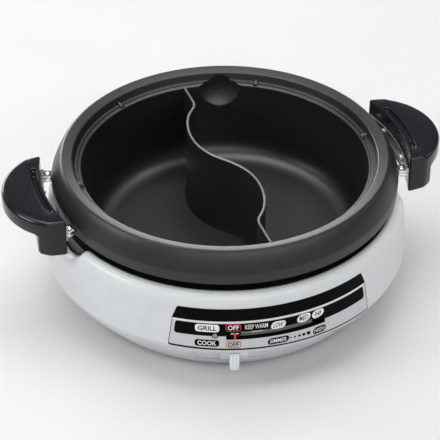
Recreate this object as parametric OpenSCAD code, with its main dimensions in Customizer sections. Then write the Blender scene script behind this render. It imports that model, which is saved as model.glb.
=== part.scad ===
// Divided electric hot pot: a round countertop base with a slide thermostat,
// and a lift-out cast pan with an S-shaped divider and two side grips.
// Millimetres. +Z is up and the origin is on the table, under the pot axis.
// The control panel faces -Y and the grips lie along X.

/* [Pan] */
// Height of the inner edge of the top ring above the table
rim_z = 156; // [152:1:160]
// Radius of the inner edge of the top ring
ring_r = 160; // [158:1:162]
// Outer radius of the straight lip band
lip_r = 182.1; // [181:0.1:183]
// Height of the straight lip band
lip_h = 12; // [10:0.5:14]
// Inner radius of the bowl at its top edge
bowl_r = 151; // [149:0.5:152]
// Depth of the floor below the ring's inner edge
bowl_depth = 100; // [90:1:101]
// Radius of the fillet between wall and floor
bowl_fillet = 25; // [15:1:30]
// Thickness of the divider wall
divider_t = 2.8; // [2:0.1:4]
// How far the divider swings to each side of the middle
divider_swing = 21.3; // [10:0.1:26]
// Direction of the ladle scoop from +X
scoop_angle = 75; // [70:1:78]

/* [Grips] */
// Radius of the grip's hollowed inner face
grip_in_r = 194; // [193:0.5:196]
// Distance of the grip's tip from the pot axis
grip_tip = 237; // [232:1:240]
// Half the length of a grip
grip_half = 61; // [55:1:63]
// Thickness of the grip's cap
cap_t = 17.5; // [14:0.5:19]
// Height of the whole grip
grip_h = 41; // [36:1:42]

/* [Base] */
// Largest radius of the casing
base_r = 194.6; // [194:0.1:196]
// Wall of the casing
wall = 3; // [2.5:0.1:3.4]
// Height of the casing's top roll
roll_z = 115.4; // [115:0.1:116]
// Height of the rubber feet
foot_h = 5; // [4.5:0.1:5]
// Half width of the cut-outs under the grips, in degrees
notch_half = 20.7; // [20:0.1:21.5]
// Height of the casing's rim at the middle of those cut-outs
notch_floor = 90; // [88:0.5:94]

/* [Controls] */
// Direction of the lever at OFF
lever_off = -104.3; // [-105:0.1:-103.5]
// Travel of the lever from OFF to HI
lever_travel = 26.4; // [20:0.1:26.8]
// Left end of the scale slot
slot_a0 = -106.9; // [-107.2:0.1:-106.6]
// Right end of the scale slot
slot_a1 = -75.4; // [-75.6:0.1:-74.8]
// Lower edge of the scale slot
slot_z = 62; // [61.5:0.1:62.5]
// Height of the scale slot
slot_h = 9.4; // [9:0.1:10]
// Pitch radius of the toothed sector
sector_r = 60; // [60]
// Teeth on the thermostat pinion
pinion_teeth = 12; // [12]

/* [Hidden] */
$fn = 96;
eps = 0.01;
floor_z = rim_z - bowl_depth;
cap_z = rim_z - 6;
grip_z = cap_z - grip_h;
lip_z = rim_z - 31;
slot_span = slot_a1 - slot_a0;
tooth_m = 2;
pinion_r = tooth_m * pinion_teeth / 2;
pinion_a = 110;
pinion_d = sector_r + pinion_r;
inlet_z = 73;
notch_y = 184*sin(notch_half);
notch_flat = notch_y - sqrt(88*(107.4-notch_floor));

// ---- helpers ----
// Points of a quadratic curve from a to c, drawn towards b
function bez(a, b, c, n) = [for (i = [0:n])
  let (t = i / n) (1-t)*(1-t)*a + 2*t*(1-t)*b + t*t*c];
// Points of an arc about c
function arc(c, r, a0, a1, n) = [for (i = [0:n])
  let (a = a0 + (a1-a0)*i/n) [c.x + r*cos(a), c.y + r*sin(a)]];
function rev(p) = [for (i = [len(p)-1:-1:0]) p[i]];
function shift(p, dx, dy) = [for (q = p) [q.x + dx, q.y + dy]];

// Ring sector of a profile, from angle a0 over a span of s degrees
module sweep(a0, s) { rotate([0, 0, a0]) rotate_extrude(angle = s, $fn = 96) children(); }
// Box in polar placement: radial from r0 to r1, width w, from z0 to z1
module spoke(a, r0, r1, w, z0, z1) {
  rotate([0, 0, a]) translate([r0, -w/2, z0]) cube([r1-r0, w, z1-z0]);
}
// Upright cylinder in polar placement
module post(a, d, r, z0, z1) {
  rotate([0, 0, a]) translate([d, 0, z0]) cylinder(r = r, h = z1-z0, $fn = 48);
}
// Radial cylinder
module radial(a, r0, r1, r, z) {
  rotate([0, 0, a]) translate([r0, 0, z]) rotate([0, 90, 0]) cylinder(r = r, h = r1-r0, $fn = 40);
}
// Flat ring between two radii
module disc_ring(r0, r1, z0, z1) {
  difference() {
    translate([0, 0, z0]) cylinder(r = r1, h = z1-z0, $fn = 96);
    translate([0, 0, z0-1]) cylinder(r = r0, h = z1-z0+2, $fn = 96);
  }
}

// ---- casing outline, as [radius, height] ----
shoulder = bez([181.8, 113.2], [188.2, 111.6], [189.8, 99.5], 6);
side = bez([189.8, 99.5], [193.4, 70], [base_r, 53], 6);
bilge = bez([base_r, 53], [193.2, 46], [181.5, 31], 6);
under = bez([181.5, 31], [172, 19], [160, foot_h+1], 5);
lower = concat(side, [for (i = [1:6]) bilge[i]], [for (i = [1:5]) under[i]]);
outline = concat([[178, 111.4], [178, roll_z-1.2], [178.8, roll_z-0.2], [180.3, roll_z],
  [181.3, roll_z-0.8], [181.5, 113.4]], [for (i = [0:5]) shoulder[i]], lower,
  [[159.2, foot_h]]);
inset = concat([[159.2-wall, foot_h]], shift(rev(lower), -wall, 0.6),
  [[184.6, 105.6], [182.6, 109], [180.4, 111.4]]);
// The tapered foot of the casing, as one straight line
function cone_r(z) = 172.8 + (z-19)*0.71;
module band(z0, z1, d0, d1) {
  polygon([[cone_r(z0)+d0, z0], [cone_r(z0)+d1, z0], [cone_r(z1)+d1, z1],
    [cone_r(z1)+d0, z1]]);
}

// One side of the curved edge of a cut-out under a grip, as [sideways, height]
notch_side = [for (i = [0:8]) let (y = notch_flat + (notch_y-notch_flat)*i/8)
  [y, notch_floor + pow(y-notch_flat, 2)/88]];
notch_line = concat([for (p = rev(notch_side)) [-p.x, p.y]], notch_side);
// Drawn sideways and upwards, run outwards from r0 to r1
module across(r0, r1) {
  rotate([90, 0, 90]) translate([0, 0, r0]) linear_extrude(height = r1-r0) children();
}

module housing_shell() color([0.86, 0.88, 0.89]) {
  difference() {
    union() {
      rotate_extrude($fn = 96) polygon(concat(outline, inset));
      // ledge that carries the heat guard
      rotate_extrude($fn = 96) polygon([[173, 103.4], [185, 103.4], [184.4, 106.8], [173, 106.8]]);
      // rims and end walls of the cut-outs under the grips
      intersection() {
        for (a = [0, 180]) rotate([0, 0, a]) {
          across(150, 200) polygon(concat(notch_line, rev(shift(notch_line, 0, -2.6))));
          for (a0 = [notch_half-0.6, -notch_half-1.2])
            sweep(a0, 1.8) translate([177.9, 100]) square([20, 18]);
        }
        rotate_extrude($fn = 96) polygon(concat(outline, [[120, foot_h], [120, 111]]));
        disc_ring(177.6, 200, 60, 120);
      }
      // back of the lever recess
      intersection() {
        sweep(-118.6, 54.8) band(16.5, 47, -6.5, -0.6);
        rotate_extrude($fn = 96) polygon(concat(outline, [[120, foot_h], [120, 111]]));
      }
      // stops for the scale strip
      for (a = [slot_a0-2, slot_a1+0.8]) sweep(a, 1.3)
        polygon([[187.45, 58], [191.4, 58], [190.2, 74], [187.45, 74]]);
      // screw bosses
      intersection() {
        for (a = [20:45:335]) {
          post(a+2.5, 150, 5, foot_h+2.6, 20);
          spoke(a+2.5, 150, 172, 3, foot_h+2.6, 20);
        }
        rotate_extrude($fn = 96) polygon(concat(outline, [[120, foot_h], [120, 111]]));
      }
    }
    // cut-outs under the grips
    for (a = [0, 180]) rotate([0, 0, a]) {
      intersection() {
        sweep(-notch_half, 2*notch_half) translate([168, 80]) square([32, 45]);
        across(150, 205) polygon(concat(notch_line, [[90, 107.5], [90, 130], [-90, 130],
          [-90, 107.5]]));
      }
      sweep(-notch_half-2.5, 2*notch_half+5) translate([168, 84]) square([10.3, 23.2]);
    }
    // lever recess, 4 mm deep, and its arc slot
    sweep(-117.6, 52.8) band(19, 44.5, -4, 12);
    sweep(lever_off-2.3, lever_travel+4.6) translate([165, 33]) square([30, 6]);
    // pocket for the label
    label_form(0.8, 1, 0.15);
    // scale slot and lamp hole
    sweep(slot_a0, slot_span) translate([182, slot_z]) square([18, slot_h]);
    radial(-110.2, 180, 200, 2.5, 66.7);
    // opening for the inlet
    translate([-23.2, 176, inlet_z-13.2]) cube([46.4, 24, 26.4]);
    // screw bores
    for (a = [20:45:335]) post(a+2.5, 150, 1.6, 0, 17);
  }
}

// Curved trapezoid over the front: inner side d0 inside the casing, outer side d1 beyond it
module label_form(d0, d1, gap) {
  pts = [for (p = concat(side, [bilge[1], bilge[2]])) if (p.y > 40) p];
  difference() {
    sweep(-127, 72) intersection() {
      polygon(concat(shift(pts, -d0, 0), rev(shift(pts, d1, 0))));
      translate([150, 49.6-gap]) square([60, 49.6+2*gap]);
    }
    for (s = [-1, 1]) rotate([0, 0, -91.2 + s*(37.6 + gap*0.3)]) rotate([s*14.2, 0, 0])
      translate([130, s > 0 ? 0 : -60, 20]) cube([80, 60, 120]);
  }
}
module label_plate() color([0.74, 0.74, 0.77]) difference() {
  label_form(0.8, -0.3, 0);
  sweep(slot_a0, slot_span) translate([182, slot_z]) square([18, slot_h]);
  radial(-110.2, 180, 200, 2.5, 66.7);
}
module scale_strip() color([0.62, 0.64, 0.58])
  sweep(slot_a0-2, slot_span+4) translate([186, 58]) square([1.4, 16]);
module lamp_lens() color([0.55, 0.6, 0.55]) radial(-110.2, 186.4, 194, 2.4, 66.7);
module lamp_holder() color([0.2, 0.2, 0.2]) difference() {
  radial(-110.2, 180, 188.8, 3.5, 66.7);
  radial(-110.2, 186.4, 190, 2.4, 66.7);
}

module bottom_cover() color([0.2, 0.2, 0.21]) {
  difference() {
    union() {
      translate([0, 0, foot_h]) cylinder(r = 155.6, h = 2.5);
      // pivot post with its thrust face
      translate([0, 0, foot_h+2.5]) cylinder(r = 13, h = 4.2);
      translate([0, 0, foot_h+2.5]) cylinder(r = 8, h = 13.7);
      // columns under the reflector
      for (a = [0, 120, 240]) post(a, 128, 5, foot_h+2, 30);
      // stiffening rings
      for (r = [114.5, 142.5]) disc_ring(r-1, r+1, foot_h+2, foot_h+6);
    }
    // air slots
    for (a = [30:12:330]) if (abs(a-120) > 14 && abs(a-240) > 14)
      spoke(a, 117, 138, 4, 0, foot_h+8);
    translate([0, 0, 10]) cylinder(r = 1.8, h = 20, $fn = 32);
    for (a = [20:45:335]) post(a+2.5, 150, 1.9, 0, 12);
    for (a = [45:90:315]) post(a, 100, 3, 0, 9);
    for (a = [0, 120, 240]) post(a, 128, 1.6, 18, 31);
  }
}
module rubber_feet() color([0.15, 0.15, 0.15]) for (a = [45:90:315]) {
  post(a, 100, 10, 0, foot_h);
  post(a, 100, 3, foot_h, foot_h+2.5);
}
module cover_screws() color([0.7, 0.7, 0.72]) for (a = [20:45:335]) {
  post(a+2.5, 150, 3.4, foot_h-1.8, foot_h);
  post(a+2.5, 150, 1.6, foot_h, 15);
}

module heat_guard() color([0.22, 0.22, 0.22]) {
  rotate_extrude($fn = 96)
    polygon([[158, 30], [159.2, 30], [159.2, 106.8], [177.5, 106.8], [177.5, 108], [158, 108]]);
  // skirts behind the cut-outs of the casing
  for (a = [0, 180]) sweep(a-notch_half-1.5, 2*notch_half+3) translate([176, 84]) square([1.2, 23.4]);
}
module reflector_dish() color([0.75, 0.75, 0.76]) difference() {
  rotate_extrude($fn = 96) polygon([[8, 30], [142, 30], [149, 33], [157.9, 33], [157.9, 34.2],
    [148.6, 34.2], [141.6, 31.2], [8, 31.2]]);
  for (s = [-1, 1]) post(90 + s*14, 100, 6, 20, 40);
  for (a = [0, 120, 240]) post(a, 128, 1.9, 20, 40);
}
module reflector_screws() color([0.7, 0.7, 0.72]) for (a = [0, 120, 240]) {
  post(a, 128, 3.2, 31.2, 33);
  post(a, 128, 1.6, 20, 31.2);
}
module heating_element() color([0.3, 0.29, 0.28]) {
  rotate([0, 0, 104]) rotate_extrude(angle = 332, $fn = 96)
    translate([100, floor_z-9.2]) circle(r = 3.6, $fn = 32);
  for (s = [-1, 1]) {
    post(90 + s*14, 100, 3.6, 20, floor_z-9.2);
    rotate([0, 0, 90 + s*14]) translate([100, 0, floor_z-9.2]) sphere(r = 3.6, $fn = 32);
    post(90 + s*14, 100, 1.5, 9, 20);
  }
}
module element_clips() color([0.7, 0.7, 0.7]) for (a = [30, 150, 270]) difference() {
  spoke(a, 94, 106, 4, 31.2, floor_z-7.2);
  rotate([0, 0, a-5]) rotate_extrude(angle = 10, $fn = 96)
    translate([96.2, floor_z-13]) square([7.6, 12]);
}
module terminal_beads() color([0.93, 0.92, 0.88]) for (s = [-1, 1]) difference() {
  post(90 + s*14, 100, 5.8, 22, 30);
  post(90 + s*14, 100, 3.6, 20, 40);
}
module pan_rests() color([0.75, 0.75, 0.76]) for (a = [60, 180, 300]) {
  post(a, 122, 4, 31.2, floor_z-5.5);
  post(a, 122, 7, 31.2, 33);
}

module sensor_sleeve() color([0.75, 0.75, 0.76]) difference() {
  union() {
    translate([0, 0, 31.2]) cylinder(r = 24, h = 1.3);
    translate([0, 0, 31.2]) cylinder(r = 19.6, h = 10);
    translate([0, 0, 29.6]) cylinder(r = 7.9, h = 2);
  }
  translate([0, 0, 32.5]) cylinder(r = 18.2, h = 10);
  translate([0, 0, 20]) cylinder(r = 4.06, h = 20, $fn = 48);
}
module sensor_cup() color([0.8, 0.8, 0.8]) {
  difference() {
    translate([0, 0, 38.4]) cylinder(r = 17.6, h = floor_z-5.5-38.4);
    translate([0, 0, 37]) cylinder(r = 16.4, h = floor_z-7.5-37);
  }
  difference() {
    translate([0, 0, 27.1]) cylinder(r = 4, h = floor_z-7.5-27.1, $fn = 48);
    translate([0, 0, 27.9]) rotate_extrude($fn = 48) translate([3, 0]) square([2, 1]);
  }
}
module sensor_clip() color([0.6, 0.6, 0.62]) disc_ring(3, 5.6, 27.9, 28.9);
// Spring between the sleeve's floor and the cup's top
spring_turns = 5;
spring_r = 8;
wire_r = 0.7;
spring_z0 = 32.5 + wire_r;
spring_z1 = floor_z - 7.5 - wire_r;
function coil(i, n) = let (a = 360*spring_turns*i/n)
  [spring_r*cos(a), spring_r*sin(a), spring_z0 + (spring_z1-spring_z0)*i/n];
module sensor_spring() color([0.7, 0.7, 0.72]) {
  n = spring_turns*24;
  k = 6;
  pts = [for (i = [0:n]) let (c = coil(i, n), a = 360*spring_turns*i/n) for (j = [0:k-1])
    let (b = 360*j/k) [c.x + wire_r*cos(b)*cos(a), c.y + wire_r*cos(b)*sin(a), c.z + wire_r*sin(b)]];
  sides = [for (i = [0:n-1]) for (j = [0:k-1]) let (q = (j+1)%k)
    each [[i*k+j, i*k+q, (i+1)*k+q], [i*k+j, (i+1)*k+q, (i+1)*k+j]]];
  caps = [[for (j = [k-1:-1:0]) j], [for (j = [0:k-1]) n*k+j]];
  polyhedron(points = pts, faces = concat(sides, caps));
}

module inlet_block() color([0.13, 0.13, 0.14]) difference() {
  translate([-23, 169, inlet_z-13]) cube([46, 22.5, 26]);
  translate([-19, 176, inlet_z-9]) cube([38, 20, 18]);
  for (x = [-9.5, 9.5]) translate([x, 160, inlet_z]) rotate([-90, 0, 0])
    cylinder(r = 2.6, h = 40, $fn = 40);
  translate([-4.5, 174.8, inlet_z-6]) cube([9, 2, 12]);
}
module inlet_pins() color([0.8, 0.75, 0.6]) for (x = [-9.5, 9.5]) {
  translate([x, 165.4, inlet_z]) rotate([-90, 0, 0]) cylinder(r = 2.6, h = 10.6, $fn = 40);
  translate([x, 176, inlet_z]) rotate([-90, 0, 0]) cylinder(r = 2, h = 10, $fn = 40);
  translate([x, 186, inlet_z]) sphere(r = 2, $fn = 40);
}
module inlet_plate() color([0.7, 0.7, 0.72]) translate([-4.5, 174.8, inlet_z-6]) cube([9, 1.8, 12]);
module supply_wires() color([0.5, 0.1, 0.1]) for (x = [-9.5, 9.5]) {
  translate([x, 163, inlet_z]) sphere(r = 1.6, $fn = 32);
  translate([x, 163, inlet_z]) rotate([-90, 0, 0]) cylinder(r = 1.6, h = 2.4, $fn = 32);
  translate([x, 163, 19]) cylinder(r = 1.6, h = inlet_z-19, $fn = 32);
  translate([x, 163, 19]) sphere(r = 1.6, $fn = 32);
  translate([x, 99, 19]) rotate([-90, 0, 0]) cylinder(r = 1.6, h = 64, $fn = 32);
  translate([x, 99, 19]) sphere(r = 1.6, $fn = 32);
  translate([x, 99, 14.5]) cylinder(r = 1.6, h = 4.5, $fn = 32);
}
module terminal_block() color([0.92, 0.9, 0.84]) difference() {
  translate([-34, 89, foot_h+2.5]) cube([68, 17, 7]);
  for (s = [-1, 1]) post(90 + s*14, 100, 1.5, 8.9, 20);
}
module thermostat_case() color([0.25, 0.2, 0.16]) rotate([0, 0, pinion_a]) difference() {
  translate([pinion_d-15, -18, foot_h+2.5]) cube([30, 36, 8.5]);
  translate([pinion_d, 0, 9]) cylinder(r = 3.05, h = 10, $fn = 48);
}
module thermostat_leads() color([0.5, 0.1, 0.1]) difference() {
  for (x = [-30, -22]) translate([x, 76, 11]) rotate([-90, 0, 0]) cylinder(r = 1.2, h = 13, $fn = 32);
  rotate([0, 0, pinion_a]) translate([pinion_d-15, -18, 0]) cube([30, 36, 20]);
}
module thermostat_shaft() color([0.7, 0.7, 0.72])
  post(pinion_a, pinion_d, 3, 9.3, 23);

// Straight-sided teeth of module 2, slimmed for backlash
module teeth(r, n, count, a0) for (i = [0:count-1]) rotate(a0 + i*360/n)
  polygon([[r-2.4, -2.0], [r-1.2, -1.55], [r, -1.15], [r+1.5, -0.62], [r+1.5, 0.62], [r, 1.15],
    [r-1.2, 1.55], [r-2.4, 2.0]]);
module thermostat_pinion() color([0.85, 0.84, 0.8])
  rotate([0, 0, pinion_a]) translate([pinion_d, 0, 17]) difference() {
    linear_extrude(height = 4) rotate(15) union() {
      circle(r = pinion_r-2.2, $fn = 48);
      teeth(pinion_r, pinion_teeth, pinion_teeth, 0);
    }
    translate([0, 0, -1]) cylinder(r = 3, h = 6, $fn = 48);
  }
module thermal_fuse() color([0.8, 0.78, 0.6])
  translate([40, 34, 27.2]) rotate([0, 90, 0]) cylinder(r = 2.4, h = 24, $fn = 32);
module fuse_clip() color([0.7, 0.7, 0.72]) difference() {
  translate([48, 29, 23.6]) cube([8, 10, 6.4]);
  translate([39, 34, 27.2]) rotate([0, 90, 0]) cylinder(r = 2.4, h = 26, $fn = 32);
}
module pivot_screw() color([0.7, 0.7, 0.72]) {
  translate([0, 0, 21.2]) cylinder(r = 11, h = 1);
  translate([0, 0, 22.2]) cylinder(r = 3.2, h = 1.6, $fn = 32);
  translate([0, 0, 11]) cylinder(r = 1.8, h = 10.2, $fn = 32);
}

// ---- lever ----
module lever_arm() color([0.72, 0.72, 0.74]) difference() {
  union() {
    translate([0, 0, 12]) cylinder(r = 14, h = 8.6);
    spoke(lever_off, 10, 164, 12, 18, 20);
    spoke(lever_off, 162, 164, 12, 18, 44);
    // toothed sector
    sweep(pinion_a-35, 46) translate([46, 18]) square([sector_r-48.2, 2]);
    translate([0, 0, 18]) linear_extrude(height = 2) teeth(sector_r, 60, 7, pinion_a-30);
    for (a = [pinion_a-31, pinion_a+7]) spoke(a, 10, 50, 7, 18, 20);
  }
  translate([0, 0, 10]) cylinder(r = 8.06, h = 14);
  for (z = [35.8, 42]) radial(lever_off, 150, 170, 1.6, z);
}
module lever_knob() color([0.86, 0.88, 0.89]) difference() {
  union() {
    // neck through the arc slot
    spoke(lever_off, 164, 182, 8, 33.6, 38.4);
    // plate in the recess
    sweep(lever_off-4.35, 8.7) band(22, 42.6, -3.6, -0.7);
    // finger peg
    intersection() {
      sweep(lever_off-4, 8) polygon([[cone_r(24)-1, 24], [186.2, 20.6], [190.6, 20.6], [191.2, 22],
        [191.2, 42.8], [cone_r(42.6)-1.2, 42.6]]);
      spoke(lever_off, 150, 200, 10.4, 10, 50);
    }
  }
  radial(lever_off, 160, 176, 1.6, 35.8);
}
module pointer_bracket() color([0.16, 0.16, 0.16]) difference() {
  union() {
    spoke(lever_off, 164, 167, 10, 39.6, 52.5);
    sweep(lever_off-1.4, 2.8) polygon([[164, 50.6], [189.2, 50.6], [189.2, 70], [188, 70],
      [188, 52.4], [164, 52.4]]);
  }
  radial(lever_off, 160, 166, 1.6, 42);
}
module pointer_needle() color([0.9, 0.1, 0.1]) rotate([0, 0, lever_off]) {
  translate([189.2, -0.9, 63]) cube([4.8, 1.8, 7.4]);
  translate([193.9, -0.9, 61.7]) cube([0.6, 1.8, 10]);
  translate([193.9, 0, 0]) rotate([90, 0, 90]) linear_extrude(height = 0.6)
    polygon([[-0.9, 68.4], [-2, 68.4], [0, 72.4], [2, 68.4], [0.9, 68.4]]);
}
module lever_screws() color([0.7, 0.7, 0.72]) {
  for (z = [35.8, 42]) radial(lever_off, 160.4, 162, 2.6, z);
  radial(lever_off, 162, 174, 1.6, 35.8);
  radial(lever_off, 162, 166, 1.6, 42);
}

// ---- pan ----
bowl_top = rim_z - 11;
wall_lo = bowl_r - 4;
fil_c = [wall_lo - bowl_fillet, floor_z + bowl_fillet];
// Inside of the bowl with the two lid ledges, up to the ring
inside = concat([[0, floor_z]], arc(fil_c, bowl_fillet, -90, 0, 7), [[bowl_r, bowl_top],
  [bowl_r+0.5, bowl_top+0.4], [bowl_r+3.4, bowl_top+0.6], [bowl_r+3.8, bowl_top+2.4],
  [bowl_r+6.3, bowl_top+2.6], [ring_r-0.3, rim_z-0.7], [ring_r+0.7, rim_z]]);
outer_side = bez([170, rim_z+2.6], [174, rim_z+1.2], [lip_r, lip_z+lip_h+0.2], 6);
skin = concat(outer_side, [[lip_r+0.2, lip_z+lip_h-0.4], [lip_r-0.2, lip_z+0.4], [lip_r-0.7, lip_z],
  [lip_r-3.5, lip_z], [lip_r-3.2, lip_z+lip_h], [173.4, rim_z-6.2], [169, rim_z-2], [163.6, rim_z-4.2],
  [160.4, rim_z-11.6], [156.8, rim_z-14.6], [155.2, rim_z-18], [wall_lo+4.2, fil_c.y]],
  arc(fil_c, bowl_fillet+4.6, -12, -90, 5), [[0, floor_z-5]]);
module scoop(r, depth) {
  translate([125, 0, rim_z-5]) rotate_extrude($fn = 64)
    polygon(concat([[0, 3]], [[r, 3]], [for (i = [0:9]) [r*cos(i*10), -depth*sin(i*10)]]));
}
module pan_shell() color([0.18, 0.18, 0.19]) difference() {
  union() {
    rotate_extrude($fn = 96) polygon(concat(inside, skin));
    // metal round the two ladle scoops, from the middle of the wall outwards
    for (a = [0, 180]) rotate([0, 0, scoop_angle+a]) difference() {
      intersection() {
        scoop(37.5, 49.5);
        translate([0, 0, 90]) disc_ring(bowl_r-4, 168, 0, 60);
      }
      rotate_extrude($fn = 96) polygon([[0, fil_c.y], [wall_lo+2, fil_c.y],
        [bowl_r+2.3, bowl_top-2.4], [bowl_r+7.4, bowl_top+1], [bowl_r+10, rim_z-5],
        [bowl_r+10, rim_z], [0, rim_z]]);
    }
    // small ribs across the ledges
    for (a = [0:60:300]) spoke(a, bowl_r+0.8, ring_r-1.2, 5, bowl_top-1.5, bowl_top+4.2);
  }
  for (a = [0, 180]) rotate([0, 0, scoop_angle+a]) scoop(34, 46);
  for (a = [0, 180]) for (s = [-1, 1]) radial(a + s*15.5, 174, 186, 2.1, lip_z+4.6);
}
swing = divider_swing;
half_path = concat(bez([0, 0], [-swing, 23], [-swing, 52], 9),
  [for (i = [1:8]) bez([-swing, 52], [-swing, 84], [-4.5, 104.5], 8)[i]],
  [for (i = [1:5]) bez([-4.5, 104.5], [0.5, 110.5], [0.2, 119], 5)[i]], [[-0.9, 158]]);
path = concat([for (i = [len(half_path)-1:-1:1]) -half_path[i]], half_path);
function dir(i) = let (a = path[max(i-1, 0)], b = path[min(i+1, len(path)-1)]) (b-a)/norm(b-a);
function side_pts(d) = [for (i = [0:len(path)-1]) let (u = dir(i)) path[i] + d*[-u.y, u.x]];
module pan_divider() color([0.3, 0.3, 0.31]) intersection() {
  translate([0, 0, floor_z-5]) linear_extrude(height = rim_z-8.2-floor_z+5)
    polygon(concat(side_pts(divider_t/2), rev(side_pts(-divider_t/2))));
  rotate_extrude($fn = 96) polygon(concat(inside, [[0, rim_z]]));
}

// ---- grips, drawn on +X ----
cap_r = 71;
cap_c = grip_tip - cap_r;
module grip() difference() {
  union() {
    intersection() {
      translate([cap_c, 0, cap_z-cap_t]) rotate_extrude($fn = 96)
        polygon(concat([[0, 0], [cap_r-2, 0], [cap_r, 2]], arc([cap_r-6, cap_t-6], 6, 0, 90, 5),
          [[0, cap_t]]));
      translate([150, -grip_half, cap_z-cap_t]) cube([100, 2*grip_half, cap_t]);
    }
    difference() {
      translate([0, 0, grip_z]) linear_extrude(height = grip_h-cap_t)
        polygon(concat([[150, -grip_half]], arc([201, 12-grip_half], 12, -90, 0, 5),
          arc([201, grip_half-12], 12, 0, 90, 5), [[150, grip_half]]));
      translate([209.2+343, 0, grip_z-1]) cylinder(r = 343, h = grip_h, $fn = 96);
      translate([208, -80, grip_z]) rotate([0, 45, 0]) translate([0, 0, -8]) cube([12, 160, 8]);
    }
  }
  translate([0, 0, grip_z-1]) cylinder(r = grip_in_r, h = grip_h+2, $fn = 96);
  // groove along the top
  sweep(-11.5, 23) translate([grip_in_r+6, cap_z-3]) square([3.8, 4]);
  for (s = [-1, 1]) radial(s*8, 190, 207, 2, lip_z+4);
}
module bracket() difference() {
  union() {
    sweep(-17, 34) translate([grip_in_r-3.2, lip_z-3]) square([3, 14]);
    for (s = [-1, 1]) spoke(s*15.5, lip_r+0.35, grip_in_r-2.4, 12.5, lip_z+1.5, lip_z+8.5);
  }
  translate([0, 0, 100]) cylinder(r = lip_r+0.3, h = 50, $fn = 96);
  for (s = [-1, 1]) {
    post(s*15.5, 186.6, 2, 100, 160);
    radial(s*15.5, 180, 190, 2.1, lip_z+4.6);
    radial(s*8, 186, 196, 2, lip_z+4);
  }
}
module grip_right() color([0.12, 0.12, 0.14]) grip();
module grip_left() color([0.12, 0.12, 0.14]) rotate([0, 0, 180]) grip();
module bracket_right() color([0.8, 0.8, 0.82]) bracket();
module bracket_left() color([0.8, 0.8, 0.82]) rotate([0, 0, 180]) bracket();
module lug_screws() color([0.85, 0.85, 0.87]) for (a = [0, 180]) for (s = [-1, 1]) {
  post(a + s*15.5, 186.6, 3.2, lip_z+8.5, lip_z+9.7);
  post(a + s*15.5, 186.6, 2, lip_z+7, lip_z+8.5);
}
module bracket_screws() color([0.7, 0.7, 0.72]) for (a = [0, 180]) for (s = [-1, 1]) {
  radial(a + s*15.5, 176.6, 178.4, 3.4, lip_z+4.6);
  radial(a + s*15.5, 178.4, 189.6, 2.1, lip_z+4.6);
}
module grip_screws() color([0.7, 0.7, 0.72]) for (a = [0, 180]) for (s = [-1, 1]) {
  radial(a + s*8, 188.8, grip_in_r-3.2, 3.6, lip_z+4);
  radial(a + s*8, grip_in_r-3.2, 206.6, 2, lip_z+4);
}

housing_shell();
bottom_cover();
rubber_feet();
cover_screws();
heat_guard();
reflector_dish();
reflector_screws();
heating_element();
element_clips();
terminal_beads();
pan_rests();
sensor_sleeve();
sensor_spring();
sensor_cup();
sensor_clip();
label_plate();
scale_strip();
lamp_lens();
lamp_holder();
inlet_block();
inlet_pins();
inlet_plate();
terminal_block();
supply_wires();
thermostat_case();
thermostat_leads();
thermostat_shaft();
thermostat_pinion();
thermal_fuse();
fuse_clip();
pivot_screw();
lever_arm();
lever_knob();
pointer_bracket();
pointer_needle();
lever_screws();
pan_shell();
pan_divider();
grip_left();
grip_right();
bracket_left();
bracket_right();
lug_screws();
bracket_screws();
grip_screws();
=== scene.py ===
import math
import bpy
import bmesh
from mathutils import Matrix, Vector


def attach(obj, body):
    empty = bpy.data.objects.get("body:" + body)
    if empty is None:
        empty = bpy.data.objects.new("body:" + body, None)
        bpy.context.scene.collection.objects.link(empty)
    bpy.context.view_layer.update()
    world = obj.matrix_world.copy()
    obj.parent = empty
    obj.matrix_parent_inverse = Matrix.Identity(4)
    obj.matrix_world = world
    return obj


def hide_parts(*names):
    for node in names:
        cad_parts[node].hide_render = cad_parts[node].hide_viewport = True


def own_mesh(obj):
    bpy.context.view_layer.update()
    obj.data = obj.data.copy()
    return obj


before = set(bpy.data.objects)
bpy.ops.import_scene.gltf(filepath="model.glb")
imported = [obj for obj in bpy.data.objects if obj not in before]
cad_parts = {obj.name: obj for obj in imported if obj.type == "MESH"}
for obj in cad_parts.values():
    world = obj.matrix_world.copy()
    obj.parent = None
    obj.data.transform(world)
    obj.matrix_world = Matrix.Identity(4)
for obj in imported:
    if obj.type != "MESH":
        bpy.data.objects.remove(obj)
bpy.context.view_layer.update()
MM = 0.001
rad = math.radians


# ---------------------------------------------------------------- camera
def make_camera():
    az, el, dist = rad(-17.15), rad(36.55), 1.8305
    right = Vector((math.cos(az), math.sin(az), 0))
    back = Vector((math.sin(az) * math.cos(el), -math.cos(az) * math.cos(el), math.sin(el)))
    up = back.cross(right)
    shift_right, shift_up = 0.0052, 0.07005
    target = Vector((0, 0, 0.156)) - shift_right * right - shift_up * up
    data = bpy.data.cameras.new("camera")
    data.lens = 143.18
    data.sensor_width = 36
    data.sensor_fit = "HORIZONTAL"
    data.clip_start = 0.05
    data.clip_end = 50
    cam = bpy.data.objects.new("camera", data)
    pos = target + dist * back
    cam.matrix_world = Matrix((
        (right.x, up.x, back.x, pos.x),
        (right.y, up.y, back.y, pos.y),
        (right.z, up.z, back.z, pos.z),
        (0, 0, 0, 1)))
    bpy.context.scene.collection.objects.link(cam)
    bpy.context.scene.camera = cam


make_camera()


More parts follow.
